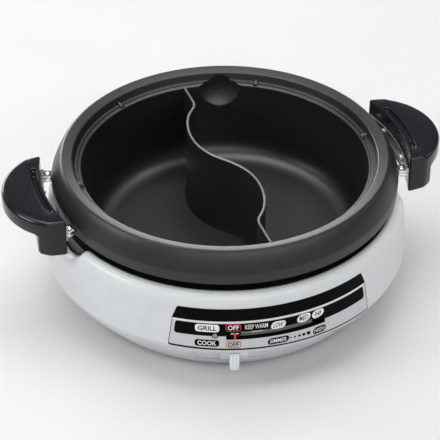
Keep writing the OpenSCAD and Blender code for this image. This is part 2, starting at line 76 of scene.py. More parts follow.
# ---------------------------------------------------------------- materials
def material(name, dark, light, scale=300.0, rough=0.4, spread=0.05, bump=0.05, grain=1500.0,
             depth=0.0001, metallic=0.0, specular=0.5, coat=0.0, coat_rough=0.1, stretch=(1, 1, 1),
             contrast=(0.3, 0.7), specks=None):
    """Two-tone noise colour, noise roughness and noise bump; optional specks (colour, scale, cut)."""
    m = bpy.data.materials.new(name)
    m.use_nodes = True
    nt = m.node_tree
    n, ln = nt.nodes, nt.links
    sh = n["Principled BSDF"]
    sh.inputs["Metallic"].default_value = metallic
    sh.inputs["Specular IOR Level"].default_value = specular
    sh.inputs["Coat Weight"].default_value = coat
    sh.inputs["Coat Roughness"].default_value = coat_rough
    co = n.new("ShaderNodeTexCoord")
    mp = n.new("ShaderNodeMapping")
    mp.inputs["Scale"].default_value = stretch
    ln.new(co.outputs["Object"], mp.inputs["Vector"])

    def noise(sc, detail=4.0, rg=0.55):
        t = n.new("ShaderNodeTexNoise")
        t.inputs["Scale"].default_value = sc
        t.inputs["Detail"].default_value = detail
        t.inputs["Roughness"].default_value = rg
        ln.new(mp.outputs["Vector"], t.inputs["Vector"])
        return t

    def ramp(src, p0, c0, p1, c1):
        r = n.new("ShaderNodeValToRGB")
        r.color_ramp.elements[0].position = p0
        r.color_ramp.elements[1].position = p1
        r.color_ramp.elements[0].color = (*c0, 1)
        r.color_ramp.elements[1].color = (*c1, 1)
        ln.new(src, r.inputs["Fac"])
        return r

    base = ramp(noise(scale).outputs["Fac"], contrast[0], dark, contrast[1], light)
    colour = base.outputs["Color"]
    if specks:
        tone, sc, cut = specks
        sp = ramp(noise(sc, 2.0, 0.6).outputs["Fac"], cut, (0, 0, 0), min(cut + 0.08, 1.0), (1, 1, 1))
        mix = n.new("ShaderNodeMix")
        mix.data_type = "RGBA"
        ln.new(sp.outputs["Color"], mix.inputs["Factor"])
        ln.new(colour, mix.inputs["A"])
        mix.inputs["B"].default_value = (*tone, 1)
        colour = mix.outputs["Result"]
    ln.new(colour, sh.inputs["Base Color"])
    rn = noise(scale * 1.7, 3.0)
    mr = n.new("ShaderNodeMapRange")
    mr.inputs["From Min"].default_value = 0.3
    mr.inputs["From Max"].default_value = 0.7
    mr.inputs["To Min"].default_value = max(rough - spread, 0.03)
    mr.inputs["To Max"].default_value = rough + spread
    ln.new(rn.outputs["Fac"], mr.inputs["Value"])
    ln.new(mr.outputs["Result"], sh.inputs["Roughness"])
    bp = n.new("ShaderNodeBump")
    bp.inputs["Strength"].default_value = bump
    bp.inputs["Distance"].default_value = depth
    ln.new(noise(grain, 3.0).outputs["Fac"], bp.inputs["Height"])
    ln.new(bp.outputs["Normal"], sh.inputs["Normal"])
    return m


M = {
    "shell": material("shell_plastic", (0.582, 0.600, 0.612), (0.612, 0.630, 0.642), 60, 0.38, 0.04,
                      0.12, 2600, 0.00008, coat=0.12, coat_rough=0.18),
    "trim": material("trim_ring", (0.37, 0.395, 0.36), (0.42, 0.445, 0.405), 90, 0.34, 0.04, 0.12, 2600,
                     0.00008, coat=0.1, coat_rough=0.15),
    "lever": material("lever_plastic", (0.69, 0.715, 0.74), (0.73, 0.75, 0.775), 120, 0.34, 0.04,
                      0.12, 2600, 0.00008, coat=0.1, coat_rough=0.15),
    "coat_out": material("pan_paint", (0.0062, 0.0056, 0.0068), (0.014, 0.013, 0.015), 700, 0.40, 0.07,
                         0.4, 1500, 0.0002, specular=0.5, specks=((0.045, 0.043, 0.046), 2100, 0.66)),
    "coat_in": material("nonstick_coat", (0.0035, 0.0034, 0.0035), (0.0065, 0.0063, 0.0065), 500, 0.39,
                        0.06, 0.25, 1300, 0.00015, specular=0.75,
                        specks=((0.025, 0.0245, 0.025), 1900, 0.68)),
    # lighter grey for the divider's top edge: a painted highlight
    "edge": material("painted_edge_highlight", (0.15, 0.15, 0.15), (0.24, 0.24, 0.24), 800, 0.35, 0.06, 0.2, 1500,
                     0.0001, metallic=0.4),
    "grip": material("grip_resin", (0.0045, 0.0049, 0.0070), (0.0075, 0.0081, 0.0112), 260, 0.20, 0.04,
                     0.12, 1700, 0.00006, specular=0.40),
    "steel": material("stainless", (0.42, 0.42, 0.43), (0.60, 0.60, 0.61), 500, 0.27, 0.07, 0.15,
                      1800, 0.0001, metallic=1.0, stretch=(1, 1, 8)),
    "chrome": material("plated_steel", (0.55, 0.55, 0.56), (0.72, 0.72, 0.73), 400, 0.16, 0.05, 0.1,
                       1500, 0.00008, metallic=1.0),
    "label_silver": material("label_silver", (0.49, 0.49, 0.52), (0.59, 0.59, 0.62), 2600, 0.36, 0.05,
                             0.1, 3000, 0.00005, metallic=0.25),
    "line": material("label_line", (0.66, 0.66, 0.68), (0.74, 0.74, 0.76), 1800, 0.34, 0.05, 0.08, 3000,
                     0.00004),
    "label_black": material("label_black", (0.002, 0.0024, 0.0018), (0.0036, 0.0042, 0.0032), 900, 0.42,
                            0.05, 0.06, 2400, 0.00005, specular=0.03),
    "ink_white": material("ink_white", (0.70, 0.71, 0.70), (0.80, 0.81, 0.80), 1500, 0.4, 0.05, 0.05,
                          3000, 0.00004),
    "ink_red": material("ink_red", (0.50, 0.018, 0.022), (0.64, 0.026, 0.03), 1500, 0.4, 0.05, 0.05,
                        3000, 0.00004),
    "needle": material("needle_red", (0.72, 0.03, 0.015), (0.85, 0.05, 0.02), 800, 0.35, 0.05, 0.05,
                       2500, 0.00004),
    "strip": material("scale_metal", (0.27, 0.28, 0.24), (0.36, 0.37, 0.32), 1200, 0.32, 0.06, 0.1,
                      2500, 0.00005, metallic=0.5, stretch=(1, 1, 5)),
    "lens": material("lens_plastic", (0.16, 0.20, 0.15), (0.24, 0.28, 0.22), 900, 0.18, 0.04, 0.05,
                     2000, 0.00005, coat=0.5),
    "guard": material("enamelled_guard", (0.006, 0.006, 0.006), (0.012, 0.012, 0.012), 300, 0.4, 0.06,
                      0.2, 1300, 0.0001),
    "reflector": material("aluminised", (0.50, 0.50, 0.51), (0.66, 0.66, 0.67), 90, 0.28, 0.08, 0.15,
                          900, 0.0001, metallic=1.0),
    "element": material("oxidised_sheath", (0.035, 0.033, 0.031), (0.075, 0.068, 0.06), 220, 0.5, 0.1,
                        0.3, 1200, 0.0001, metallic=0.6),
    "ceramic": material("ceramic", (0.74, 0.72, 0.66), (0.82, 0.80, 0.75), 300, 0.5, 0.08, 0.25, 1500,
                        0.0001),
    "black": material("black_plastic", (0.012, 0.012, 0.013), (0.020, 0.020, 0.021), 300, 0.45, 0.06,
                      0.25, 1600, 0.0001),
    "cover": material("grey_cover", (0.030, 0.030, 0.032), (0.045, 0.045, 0.048), 160, 0.55, 0.07,
                      0.3, 1500, 0.00015),
    "rubber": material("foot_rubber", (0.014, 0.014, 0.014), (0.024, 0.024, 0.024), 300, 0.8, 0.08,
                       0.4, 1300, 0.0002),
    "brass": material("brass", (0.62, 0.50, 0.26), (0.74, 0.62, 0.36), 400, 0.25, 0.06, 0.1, 1500,
                      0.00008, metallic=1.0),
    "wire": material("wire_sleeve", (0.30, 0.012, 0.012), (0.40, 0.02, 0.018), 400, 0.5, 0.08, 0.2,
                     1500, 0.0001),
    "bakelite": material("bakelite", (0.035, 0.020, 0.012), (0.055, 0.032, 0.02), 260, 0.35, 0.06,
                         0.15, 1400, 0.0001),
    "nylon": material("nylon", (0.68, 0.66, 0.60), (0.76, 0.74, 0.68), 300, 0.45, 0.06, 0.15, 1400,
                      0.0001),
    "floor": material("floor_paper", (0.59, 0.59, 0.594), (0.61, 0.61, 0.614), 6, 0.7, 0.06, 0.05, 400,
                      0.0003, specular=0.2),
}


# ---------------------------------------------------------------- mesh helpers
def bez(a, b, c, n):
    """n+1 points on the curve from a to c that is drawn towards b."""
    return [((1-t)**2*a[0] + 2*t*(1-t)*b[0] + t*t*c[0], (1-t)**2*a[1] + 2*t*(1-t)*b[1] + t*t*c[1])
            for t in (i/n for i in range(n+1))]


def rounded(pts, closed=True, n=4):
    """Polyline with a radius at each (x, y, radius) corner."""
    out = []
    k = len(pts)
    for i, p in enumerate(pts):
        r = p[2] if len(p) > 2 else 0
        if r <= 0 or (not closed and i in (0, k-1)):
            out.append((p[0], p[1]))
            continue
        c = Vector((p[0], p[1]))
        a = Vector(pts[i-1][:2]) - c
        b = Vector(pts[(i+1) % k][:2]) - c
        ang = a.angle(b)
        if math.pi - ang < 0.02:
            out.append((p[0], p[1]))
            continue
        d = min(r / math.tan(ang/2), a.length*0.48, b.length*0.48)
        pa, pb = c + a.normalized()*d, c + b.normalized()*d
        m = n if r < 5 else n*4
        out += bez(pa, c, pb, m)
    return out


def resample(poly, k):
    """k points along a polyline, corners kept."""
    segs = [math.dist(poly[i], poly[i+1]) for i in range(len(poly)-1)]
    extra = k - len(poly)
    share = [0]*len(segs)
    for _ in range(extra):
        j = max(range(len(segs)), key=lambda i: segs[i]/(share[i]+1))
        share[j] += 1
    out = []
    for i in range(len(segs)):
        m = share[i]+1
        for t in range(m):
            f = t/m
            out.append(tuple(poly[i][q] + (poly[i+1][q]-poly[i][q])*f for q in (0, 1)))
    return out + [poly[-1]]


def polar(r, a, z):
    return (r*math.cos(rad(a)), r*math.sin(rad(a)), z)


def add(name, verts, faces, body, mat, nodes=(), angle=32, merge=0.0):
    """A piece from points in mm and faces; merge joins points closer than that many mm."""
    bm = bmesh.new()
    vs = [bm.verts.new([c*MM for c in v]) for v in verts]
    for f in faces:
        try:
            bm.faces.new([vs[i] for i in f])
        except ValueError:
            pass
    if merge:
        bmesh.ops.remove_doubles(bm, verts=bm.verts, dist=merge*MM)
    bmesh.ops.recalc_face_normals(bm, faces=bm.faces)
    return put(name, bm, body, mat, nodes, angle)


def put(name, bm, body, mat, nodes=(), angle=32):
    """Makes the piece, gives it its material and lets it ride on its body."""
    me = bpy.data.meshes.new(name)
    bm.to_mesh(me)
    bm.free()
    for p in me.polygons:
        p.use_smooth = True
    me.set_sharp_from_angle(angle=rad(angle))
    me.materials.append(M[mat])
    ob = bpy.data.objects.new(name, me)
    bpy.context.scene.collection.objects.link(ob)
    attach(ob, body)
    if nodes:
        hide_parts(*nodes)
    return ob


def grid_faces(cols, rows, wrap_c=True, wrap_r=True, skip=None):
    out = []
    for i in range(cols if wrap_c else cols-1):
        j2 = (i+1) % cols
        for r in range(rows if wrap_r else rows-1):
            if skip and skip(i, r):
                continue
            r2 = (r+1) % rows
            out.append((i*rows+r, j2*rows+r, j2*rows+r2, i*rows+r2))
    return out


def ends(count, k):
    """The two faces that close a body of count points, with k points at each end."""
    return [tuple(range(k)), tuple(range(count-1, count-k-1, -1))]


def stack_faces(rows, k):
    """Faces of a closed body that is a stack of rows with k points each."""
    faces = []
    for j in range(rows-1):
        faces += [(j*k+i, j*k+(i+1) % k, (j+1)*k+(i+1) % k, (j+1)*k+i) for i in range(k)]
    return faces + ends(rows*k, k)


def angles(step, extra=()):
    """Sorted angles round the circle, with the extra ones included."""
    kept = set()
    s = set(round(i*step, 4) for i in range(int(round(360/step))))
    for e in extra:
        e = round(e % 360, 4)
        s = {a for a in s if abs(a-e) > step*0.3 or a in kept} | {e}
        kept.add(e)
    return sorted(s)


def revolve(name, profile, body, mat, nodes=(), step=1.0, angle=32, extra=()):
    """profile is a list of (r, z), or a function of the angle that gives one."""
    al = angles(step, extra)
    fn = profile if callable(profile) else (lambda a: profile)
    verts, rows = [], 0
    for a in al:
        col = fn(a)
        rows = len(col)
        verts += [polar(r, a, z) for r, z in col]
    return add(name, verts, grid_faces(len(al), rows), body, mat, nodes, angle)


# ---------------------------------------------------------------- pan
def wall_r(z):
    """Radius of the bowl's inner wall, which leans out by 4 mm over a height of 64."""
    return 147 + (z-81)*4/64


SCOOPS = (75.0, 255.0)
SCOOP_HALF = 16                 # degrees on either side of a scoop's middle
SCOOP_R, SCOOP_Z = 125, 151     # centre of the dome that hollows a scoop
PAN = rounded([
    (0.01, 56), (145.44, 56, 25), (151, 145, 0.9), (154.5, 145.7, 0.5), (154.9, 147.5, 0.7),
    (157.3, 147.7, 0.6), (159.6, 155.3, 0.5), (160.6, 156.1, 0.6), (170, 158.6, 1.6)]
    + [(*p, 0) for p in bez((171.5, 158.0), (176.2, 153.0), (182.0, 137.6), 14)[1:-1]]
    + [(182.1, 137.0, 0.8), (182.1, 125.2, 0.9), (178.6, 125.2, 0.8), (178.9, 137, 2), (173.4, 149.8, 2),
       (169, 154, 2), (163.6, 151.8, 2), (160.4, 144.4, 1.5), (156.8, 141.4, 1.5), (155.2, 138, 2),
       (150.2, 51, 30), (0.01, 51)], closed=False)


def pan_column(a):
    """The pan's profile at one angle, pushed outwards in the scoops."""
    d = min(abs((a-s+180) % 360 - 180) for s in SCOOPS)
    if d > SCOOP_HALF:
        return PAN
    x, y2 = SCOOP_R*math.cos(rad(d)), (SCOOP_R*math.sin(rad(d)))**2
    out = []
    inner = True
    for i, (r, z) in enumerate(PAN):
        if r >= 160.5:
            inner = False
        grow = 34 if inner else 38.5
        drop = 46 if inner else 50.5
        if (inner or i > len(PAN)*0.45) and 95 < z < 155.6 and r < 160.4:
            depth = max(0, SCOOP_Z-z)/drop
            q = (grow*math.sqrt(max(0, 1-depth**2)))**2 - y2
            if q > 0:
                r = max(r, min(x + math.sqrt(q), 159.4 if inner else 163.0))
        out.append((r, z))
    return out


def dense(pts, lo, hi, step):
    """More points along the inner wall, so that the scoop's outline has rows to follow."""
    out = [pts[0]]
    for a, b in zip(pts, pts[1:]):
        k = 1
        if lo < (a[1]+b[1])/2 < hi and a[0] < 161 and b[0] < 161 and math.dist(a, b) > step:
            k = int(math.dist(a, b)/step)+1
        out += [tuple(a[q]+(b[q]-a[q])*t/k for q in (0, 1)) for t in range(1, k+1)]
    return out


PAN = dense(PAN, 100, 156, 1.3)
PAN = [(max(r, 0.01), z) for r, z in PAN]
scoop_fine = [s+d/4 for s in SCOOPS for d in range(-64, 65)]
pan = revolve("pan_bowl", pan_column, "pan", "coat_in", ("pan_shell",), 1.0, 34, scoop_fine)
pan.data.materials.append(M["coat_out"])
for p in pan.data.polygons:
    c = p.center
    r = math.hypot(c.x, c.y)/MM
    z = c.z/MM
    n = p.normal
    if r > 160.4 or (n.x*c.x+n.y*c.y > 0.2*r*MM and z < 155) or (z < 55):
        p.material_index = 1


def rib(a, name):
    """Small rounded stop across the two ledges."""
    prof = rounded([(152.2, 143.6), (152.2, 147.6, 1.2), (155.2, 149.4, 1.2), (158.2, 150.2, 1.0),
                    (159.2, 150.0), (159.2, 143.6)], n=3)
    verts, k = [], len(prof)
    steps = [(-2.9, 0.0), (-2.6, 0.35), (-1.9, 0.85), (-0.9, 1.0), (0.9, 1.0), (1.9, 0.85), (2.6, 0.35),
             (2.9, 0.0)]
    for y, h in steps:
        for r, z in prof:
            zz = 143.6 + (z-143.6)*(0.35+0.65*h)
            ca, sa = math.cos(rad(a)), math.sin(rad(a))
            verts.append((r*ca-y*sa, r*sa+y*ca, zz))
    faces = grid_faces(len(steps), k, wrap_c=False)
    faces += ends(len(verts), k)
    return add(name, verts, faces, "pan", "coat_in", (), 40)


for i, a in enumerate(range(0, 360, 60)):
    rib(a, f"ledge_rib_{i}")


def divider():
    """The S-shaped wall: half a curve and its mirror image, its top edge painted a lighter grey as a
    highlight.
    """
    half = bez((0, 0), (-21.3, 23), (-21.3, 52), 26) \
        + bez((-21.3, 52), (-21.3, 84), (-4.5, 104.5), 26)[1:] \
        + bez((-4.5, 104.5), (0.5, 110.5), (0.2, 119), 10)[1:]
    half += [(0.2-1.1*t/5, 119+31*t/5) for t in range(1, 6)]
    line = [Vector((-x, -y)) for x, y in half[:0:-1]] + [Vector(p) for p in half]
    prof = [(-1.4, 55.2), (-1.4, 60), (-1.4, 110), (-1.4, 146.2), (-1.25, 147.1), (-0.85, 147.7),
            (0, 147.9), (0.85, 147.7), (1.25, 147.1), (1.4, 146.2), (1.4, 110), (1.4, 60), (1.4, 55.2)]
    foot = {0: 3.2, 1: 0.9, 11: 0.9, 12: 3.2}       # the profile's lowest points stand wider
    verts = []
    for i, p in enumerate(line):
        t = (line[min(i+1, len(line)-1)]-line[max(i-1, 0)]).normalized()
        nrm = Vector((-t.y, t.x))
        for j, (d, z) in enumerate(prof):
            dd = d + math.copysign(foot.get(j, 0), d) if d else 0
            q = p + nrm*dd
            reach = min(150.6, (wall_r(max(z, 81)) if z > 81 else
                        (120.4+math.sqrt(max(0, 25**2-(81-z)**2))))+0.8)
            if q.length > reach:
                q = q*(reach/q.length)
            verts.append((q.x, q.y, z))
    k = len(prof)
    faces = grid_faces(len(line), k, wrap_c=False, wrap_r=False)
    faces += ends(len(verts), k)
    faces += [(i*k, (i+1)*k, (i+1)*k+k-1, i*k+k-1) for i in range(len(line)-1)]
    ob = add("divider_wall", verts, faces, "pan", "coat_in", ("pan_divider",), 50)
    # the divider's top faces get the lighter grey, a painted highlight along the edge
    ob.data.materials.append(M["edge"])
    for f in ob.data.polygons:
        if f.center.z > 0.1471:
            f.material_index = 1


divider()


# ---------------------------------------------------------------- grips and brackets
def ease(t):
    t = max(0.0, min(1.0, t))
    return t*t*(3-2*t)


def outward(pts):
    """Outward normals of a closed counter-clockwise outline."""
    out = []
    for i in range(len(pts)):
        t = (Vector(pts[(i+1) % len(pts)])-Vector(pts[i-1])).normalized()
        out.append(Vector((t.y, -t.x)))
    return out


def turn(v, a):
    ca, sa = math.cos(rad(a)), math.sin(rad(a))
    return (v[0]*ca-v[1]*sa, v[0]*sa+v[1]*ca, v[2])


def prism(name, outline, z0, z1, edge, body, mat, place, nodes=(), steps=3, angle=40):
    """Upright block on a counter-clockwise outline, with rounded rims; place maps each point."""
    nrm = outward(outline)
    rows = []
    for i in range(steps+1):
        t = rad(90*i/steps)
        rows.append((edge*(1-math.sin(t)), z0+edge*(1-math.cos(t))))
    rows += [(d, z1-(z-z0)) for d, z in reversed(rows)]
    verts = []
    for d, z in rows:
        for p, n in zip(outline, nrm):
            verts.append(place((p[0]-n.x*d, p[1]-n.y*d, z)))
    return add(name, verts, stack_faces(len(rows), len(outline)), body, mat, nodes, angle)


GRIP_C, GRIP_R = 166.0, 70.9        # centre and radius of the cap's outer edge
GRIP_Y = 60.9                       # half the cap's length
GRIP_IN = 194.05                    # radius of the grip's inner face, about the pan's axis
GROOVE_OUT, GROOVE_IN = 203.2, 197.4    # radii of the groove in the cap's top
GROOVE_HALF = 10.6                  # degrees on either side of the grip's middle
LUG_A = 15.5                        # degrees from a grip's middle to each of its lugs


def leg_reach(t):
    """Distance from the cap's centre to the leg's outline in direction t."""
    dx, dy = math.cos(t), math.sin(t)
    lo, hi = 15.0, 90.0
    for _ in range(40):
        m = (lo+hi)/2
        x, y = GRIP_C+dx*m, abs(dy*m)
        ok = y <= GRIP_Y and x <= 212.9 and math.hypot(x-552.2, y) >= 343
        if x > 201 and y > 49:
            ok = ok and math.hypot(x-201, y-49) <= 11.9
        if ok:
            lo = m
        else:
            hi = m
    return lo


def grip(side, turned):
    """One grip: columns of points down from the cap's rim, with a groove let into the top."""
    reach = math.atan2(GRIP_Y, 187.6-GRIP_C)
    cap, leg = [], []
    n = 120
    for i in range(n+1):
        t = -reach+2*reach*i/n
        flat = GRIP_Y/max(abs(math.sin(t)), 0.2)
        k = 2.0
        h = max(0.0, min(1.0, 0.5+0.5*(flat-GRIP_R)/k))
        d = flat+(GRIP_R-flat)*h-k*h*(1-h)
        e = min(leg_reach(t), d)
        cap.append((GRIP_C+d*math.cos(t), d*math.sin(t)))
        leg.append((GRIP_C+e*math.cos(t), e*math.sin(t)))
    a0 = math.degrees(math.asin(GRIP_Y/GRIP_IN))
    corner = (GRIP_IN*math.cos(rad(a0)), GRIP_Y)
    inner = [(GRIP_IN*math.cos(rad(a)), GRIP_IN*math.sin(rad(a)))
             for a in ((a0-1)-(2*a0-2)*i/40 for i in range(41))]
    turn1 = bez(cap[-1], corner, inner[0], 6)[1:-1]
    turn2 = bez(inner[-1], (corner[0], -corner[1]), cap[0], 6)[1:-1]
    cap += turn1+inner+turn2
    leg += turn1+inner+turn2
    na, nb = outward(cap), outward(leg)
    k = len(cap)
    cols = []
    for p, q, u, v in zip(cap, leg, na, nb):
        p, q = Vector(p), Vector(q)
        s = ease((p.length-194)/22)
        top, low = 1.3+3.4*s, 1.0+2.8*s
        step = (p-q).length
        under = min(2.4, step*0.45)
        col = []
        for j in range(7):
            t = rad(90*j/6)
            w = p-u*top*(1-math.sin(t))
            col.append((w.x, w.y, 150-top*(1-math.cos(t))))
        for j in range(5):
            t = rad(90*j/4)
            w = p-u*under*(1-math.cos(t))
            col.append((w.x, w.y, 132.5+under*(1-math.sin(t))))
        w = q+(p-q)*0.12
        col.append((w.x, w.y, 132.3))
        col.append((q.x, q.y, 131.6-min(1.0, step*0.2)))
        col.append((q.x, q.y, 121))
        for j in range(6):
            t = rad(90*j/5)
            w = q-v*low*(1-math.cos(t))
            col.append((w.x, w.y, 109.1+low*(1-math.sin(t))))
        cols.append(col)
    rows = len(cols[0])
    bm = bmesh.new()
    vs = [[bm.verts.new([c*MM for c in turn(p, turned)]) for p in col] for col in cols]
    for i in range(k):
        a, b = vs[i], vs[(i+1) % k]
        for j in range(rows-1):
            bm.faces.new((a[j], b[j], b[j+1], a[j+1]))
    bm.faces.new([c[-1] for c in vs])
    # the groove along the top, with rounded rims and a floor 3.4 mm down
    gro = [(GROOVE_OUT*math.cos(rad(g)), GROOVE_OUT*math.sin(rad(g))) for g in
           (-GROOVE_HALF+2*GROOVE_HALF*i/40 for i in range(41))]
    tip = [(GROOVE_OUT, GROOVE_HALF), (GROOVE_OUT, 11.5), (200.3, 11.6), (GROOVE_IN, 11.5),
           (GROOVE_IN, GROOVE_HALF)]
    tp = [(r*math.cos(rad(g)), r*math.sin(rad(g))) for r, g in tip]
    gro += bez(tp[0], tp[1], tp[2], 5)[1:]+bez(tp[2], tp[3], tp[4], 5)[1:]
    gro += [(GROOVE_IN*math.cos(rad(g)), GROOVE_IN*math.sin(rad(g))) for g in
            (GROOVE_HALF-2*GROOVE_HALF*i/40 for i in range(1, 41))]
    tm = [(x, -y) for x, y in reversed(tp)]
    gro += bez(tm[0], tm[1], tm[2], 5)[1:]+bez(tm[2], tm[3], tm[4], 5)[1:-1]
    ng = outward(gro)
    rings = []
    for d, z in ((-0.9, 150), (-0.45, 149.88), (-0.12, 149.55), (0, 149.1), (0, 147.4), (0.5, 146.8),
                 (1.2, 146.6)):
        ring = []
        for (x, y), u in zip(gro, ng):
            ring.append(bm.verts.new([c*MM for c in turn((x-u.x*d, y-u.y*d, z), turned)]))
        if rings:
            above = rings[-1]
            for i in range(len(ring)):
                i2 = (i+1) % len(ring)
                bm.faces.new((above[i], above[i2], ring[i2], ring[i]))
        rings.append(ring)
    bm.faces.new(rings[-1])
    edges = []
    for loop in ([c[0] for c in vs], rings[0]):
        for i in range(len(loop)):
            edges.append(bm.edges.get((loop[i], loop[(i+1) % len(loop)]))
                         or bm.edges.new((loop[i], loop[(i+1) % len(loop)])))
    bmesh.ops.triangle_fill(bm, edges=edges, use_beauty=True)
    bmesh.ops.remove_doubles(bm, verts=bm.verts, dist=0.0000005)
    bmesh.ops.recalc_face_normals(bm, faces=bm.faces)
    put(f"grip_{side}_resin", bm, "pan", "grip", (f"grip_{side}",), 42)
    for i, (ang, r, rr) in enumerate(((-10.3, 200.3, 1.5), (-7.6, 200.5, 1.3), (10.3, 200.3, 1.5))):
        pts = [(math.cos(rad(t))*rr, math.sin(rad(t))*rr) for t in range(0, 360, 20)]
        prism(f"grip_{side}_stud_{i}", pts, 146.5, 148.9, 0.9, "pan", "grip",
              lambda v, ang=ang, r=r: turn((v[0]+r*math.cos(rad(ang)), v[1]+r*math.sin(rad(ang)), v[2]),
                                           turned))


def arc_bar(name, prof, a0, a1, body, mat, nodes=(), step=1.0, angle=40):
    """Closed (r, z) profile swept between two angles, with end faces."""
    n = max(2, int(round((a1-a0)/step)))
    k = len(prof)
    verts = [polar(r, a0+(a1-a0)*i/n, z) for i in range(n+1) for r, z in prof]
    faces = grid_faces(n+1, k, wrap_c=False)
    faces += ends(len(verts), k)
    return add(name, verts, faces, body, mat, nodes, angle)


def bracket(side, turned):
    """The strap behind a grip and its two lugs, each of three blocks."""
    plate = rounded([(190.9, 122.2, 0.7), (193.7, 122.2, 0.7), (193.7, 135.8, 0.7),
                     (190.9, 135.8, 0.7)], n=3)
    arc_bar(f"bracket_{side}_plate", plate, turned-16.9, turned+16.9, "pan", "steel",
            (f"bracket_{side}",))
    for s, tag in ((-1, "a"), (1, "b")):
        for part, (u0, u1, hw, z0, z1) in {
                "top": (182.6, 191.2, 6.2, 131.5, 133.45), "foot": (182.6, 191.2, 6.2, 126.55, 128.3),
                "web": (182.9, 191.2, 5.0, 128.0, 131.8)}.items():
            pts = rounded([(u0, -hw, 0.7), (u1, -hw, 0.3), (u1, hw, 0.3), (u0, hw, 0.7)], n=3)
            prism(f"lug_{side}_{tag}_{part}", pts, z0, z1, 0.35, "pan", "chrome",
                  lambda v, s=s: turn(v, turned+s*LUG_A))


for side, turned in (("right", 0), ("left", 180)):
    grip(side, turned)
    bracket(side, turned)


def lug_heads():
    """Low domed heads with a shallow dimple."""
    prof = [(0.01, 134.05), (0.5, 134.05), (0.9, 134.35), (1.6, 134.42), (2.3, 134.25), (2.9, 133.85),
            (3.1, 133.5), (3.1, 132.0), (0.01, 132.0)]
    verts, faces = [], []
    for a in (0, 180):
        for s in (-1, 1):
            base = len(verts)
            for t in range(24):
                for r, z in prof:
                    v = (186.6+r*math.cos(rad(t*15)), r*math.sin(rad(t*15)), z)
                    verts.append(turn(v, a+s*LUG_A))
            faces += [tuple(base+i for i in f) for f in grid_faces(24, len(prof))]
    add("lug_heads", verts, faces, "pan", "chrome", ("lug_screws",), 40)


lug_heads()

# ---------------------------------------------------------------- casing
SKIN = 0.48      # the casing lies this much inside the CAD outline, which leaves room for the label
RIM = 115.2                         # height of the rolled rim
SIDE_R, SIDE_TOP = 189.8, 99.5      # where the rim's roll meets the side
side = bez((SIDE_R, SIDE_TOP), (193.4, 70), (194.6, 53), 24)
bilge = bez((194.6, 53), (193.2, 46), (181.5, 31), 18)
under = bez((181.5, 31), (172, 19), (160, 6), 14)
lower = side + bilge[1:] + under[1:]


def surf_r(z):
    """Radius of the CAD outline at height z."""
    for (r0, z0), (r1, z1) in zip(lower, lower[1:]):
        if z1 <= z <= z0:
            return r0 + (r1-r0)*(z0-z)/(z0-z1)
    return lower[0][0] if z > 99 else lower[-1][0]


def cone_r(z):
    """Radius of the cone that the lever's plate follows."""
    return 172.8 + (z-19)*0.71


NOTCH, NOTCH_FLOOR = 20.7, 90.0     # half angle and height of the dip under each grip
NOTCH_Y = 184*math.sin(rad(NOTCH))
NOTCH_FLAT = NOTCH_Y-math.sqrt(88*(107.4-NOTCH_FLOOR))
LEVER, SWING = -104.3, 26.4         # the lever's angle at OFF, and how far it turns
REC0, REC1 = -117.6, -64.8          # the recess for the lever
ARC0, ARC1 = LEVER-2.3, LEVER+SWING+2.3     # the slot for the lever's neck
ARC_LOW, ARC_TOP = 33.0, 39.0
SLOT0, SLOT1 = -106.9, -76.0        # the scale's slot
SLOT_LOW, SLOT_TOP = 64.5, 73.7
INLET0, INLET1 = 83.0, 97.0         # the inlet's opening at the back
INLET_LOW, INLET_TOP = 59.8, 86.2
TOP = rounded([(178.2, 107.2), (178.2, 115.2, 0.8), (180.6, 115.2, 0.9), (181.6, 113.3, 0.35)]
              + [(*p, 0) for p in bez((181.8, 113.2), (188.0, 111.6), (SIDE_R-SKIN, SIDE_TOP), 16)],
              closed=False)
DIP = resample(rounded([(178.35, 106.2), (178.35, 114.9, 1.4), (180.2, 115.3, 0.5), (182.6, 115.2, 1)]
                       + [(*p, 0) for p in bez((182.8, 115.2), (188.8, 114.4), (SIDE_R-SKIN, SIDE_TOP), 12)],
                       closed=False), len(TOP))
# heights at which the openings, and then the recess, need a row of points
EDGES = [INLET_TOP, INLET_LOW, SLOT_TOP, SLOT_TOP-0.1, SLOT_LOW+0.1, SLOT_LOW, ARC_TOP, ARC_TOP-0.1,
         ARC_LOW+0.1, ARC_LOW, 45.3, 44.8, 44.55, 44.5, 19.0, 18.95, 18.7, 18.2]
rows_z = []
for z in sorted(set([p[1] for p in lower[1:]] + EDGES), reverse=True):
    if not rows_z or rows_z[-1]-z >= 0.04:
        rows_z.append(z)
# The inner skin lies further in than the CAD's and has no step behind the lever's recess, so
# lever_plate, lever_neck and pointer_bracket cut through it, out of sight.
INNER = [(157, 6), (158, 8), (178.4, 31), (186.9, 54), (186.66, INLET_LOW), (185.63, INLET_TOP),
         (185.2, 97)]


def rim_z(a):
    """Height of the casing's rim, and how far its shape has gone from the roll to the dipped one."""
    aa = (a+180) % 360 - 180
    d = min(abs(aa), 180-abs(aa))
    if d > NOTCH+3.0:
        return RIM, 0.0
    if d > NOTCH:
        t = (d-NOTCH)/3.0
        return 107.3+7.9*math.sqrt(1-(1-t)**2), (1-t)**2
    y = 184*math.sin(rad(d))
    return NOTCH_FLOOR+max(0.0, y-NOTCH_FLAT)**2/88, 1.0


